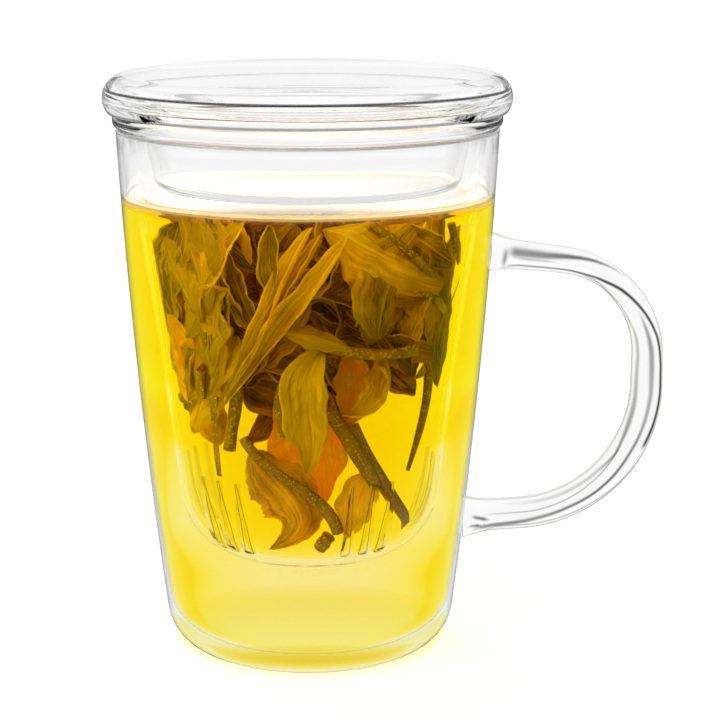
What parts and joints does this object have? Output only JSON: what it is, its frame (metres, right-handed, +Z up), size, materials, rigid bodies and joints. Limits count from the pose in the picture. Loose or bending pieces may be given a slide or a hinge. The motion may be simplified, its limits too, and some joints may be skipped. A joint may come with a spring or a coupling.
{
  "type": "lidded tea mug with infuser",
  "caption": "Tapered clear-glass tea mug with a D-shaped rod handle, a lift-out slotted glass infuser hung on the rim, and a loose round-edged glass lid with a sunken plug.",
  "frame": {"origin": "centre of the mug's foot, on the surface it stands on", "axes": "+Z up along the mug's axis, +X towards the handle, -Y is the front"},
  "size_m": [0.1248, 0.0898, 0.1301],
  "materials": {
    "mug_glass": "clear polished borosilicate",
    "infuser_glass": "clear polished borosilicate",
    "lid_glass": "clear polished borosilicate",
    "tea": "clear yellow brew, contents shown only in the visual model",
    "tea_leaf": "wet steeped leaf, contents shown only in the visual model"
  },
  "bodies": {
    "mug": {"mug_body": "mug_glass", "handle": "mug_glass", "handle_pad_upper": "mug_glass", "handle_pad_lower": "mug_glass"},
    "infuser": {"infuser": "infuser_glass"},
    "lid": {"lid_cover": "lid_glass", "lid_dish": "lid_glass"}
  },
  "joints": [
    {"name": "infuser_lift", "type": "slide", "parent": "mug", "child": "infuser", "axis": [0, 0, 1], "range_m": [0, 0.11]},
    {"name": "lid_lift", "type": "slide", "parent": "infuser", "child": "lid", "axis": [0, 0, 1], "range_m": [0, 0.03]}
  ]
}
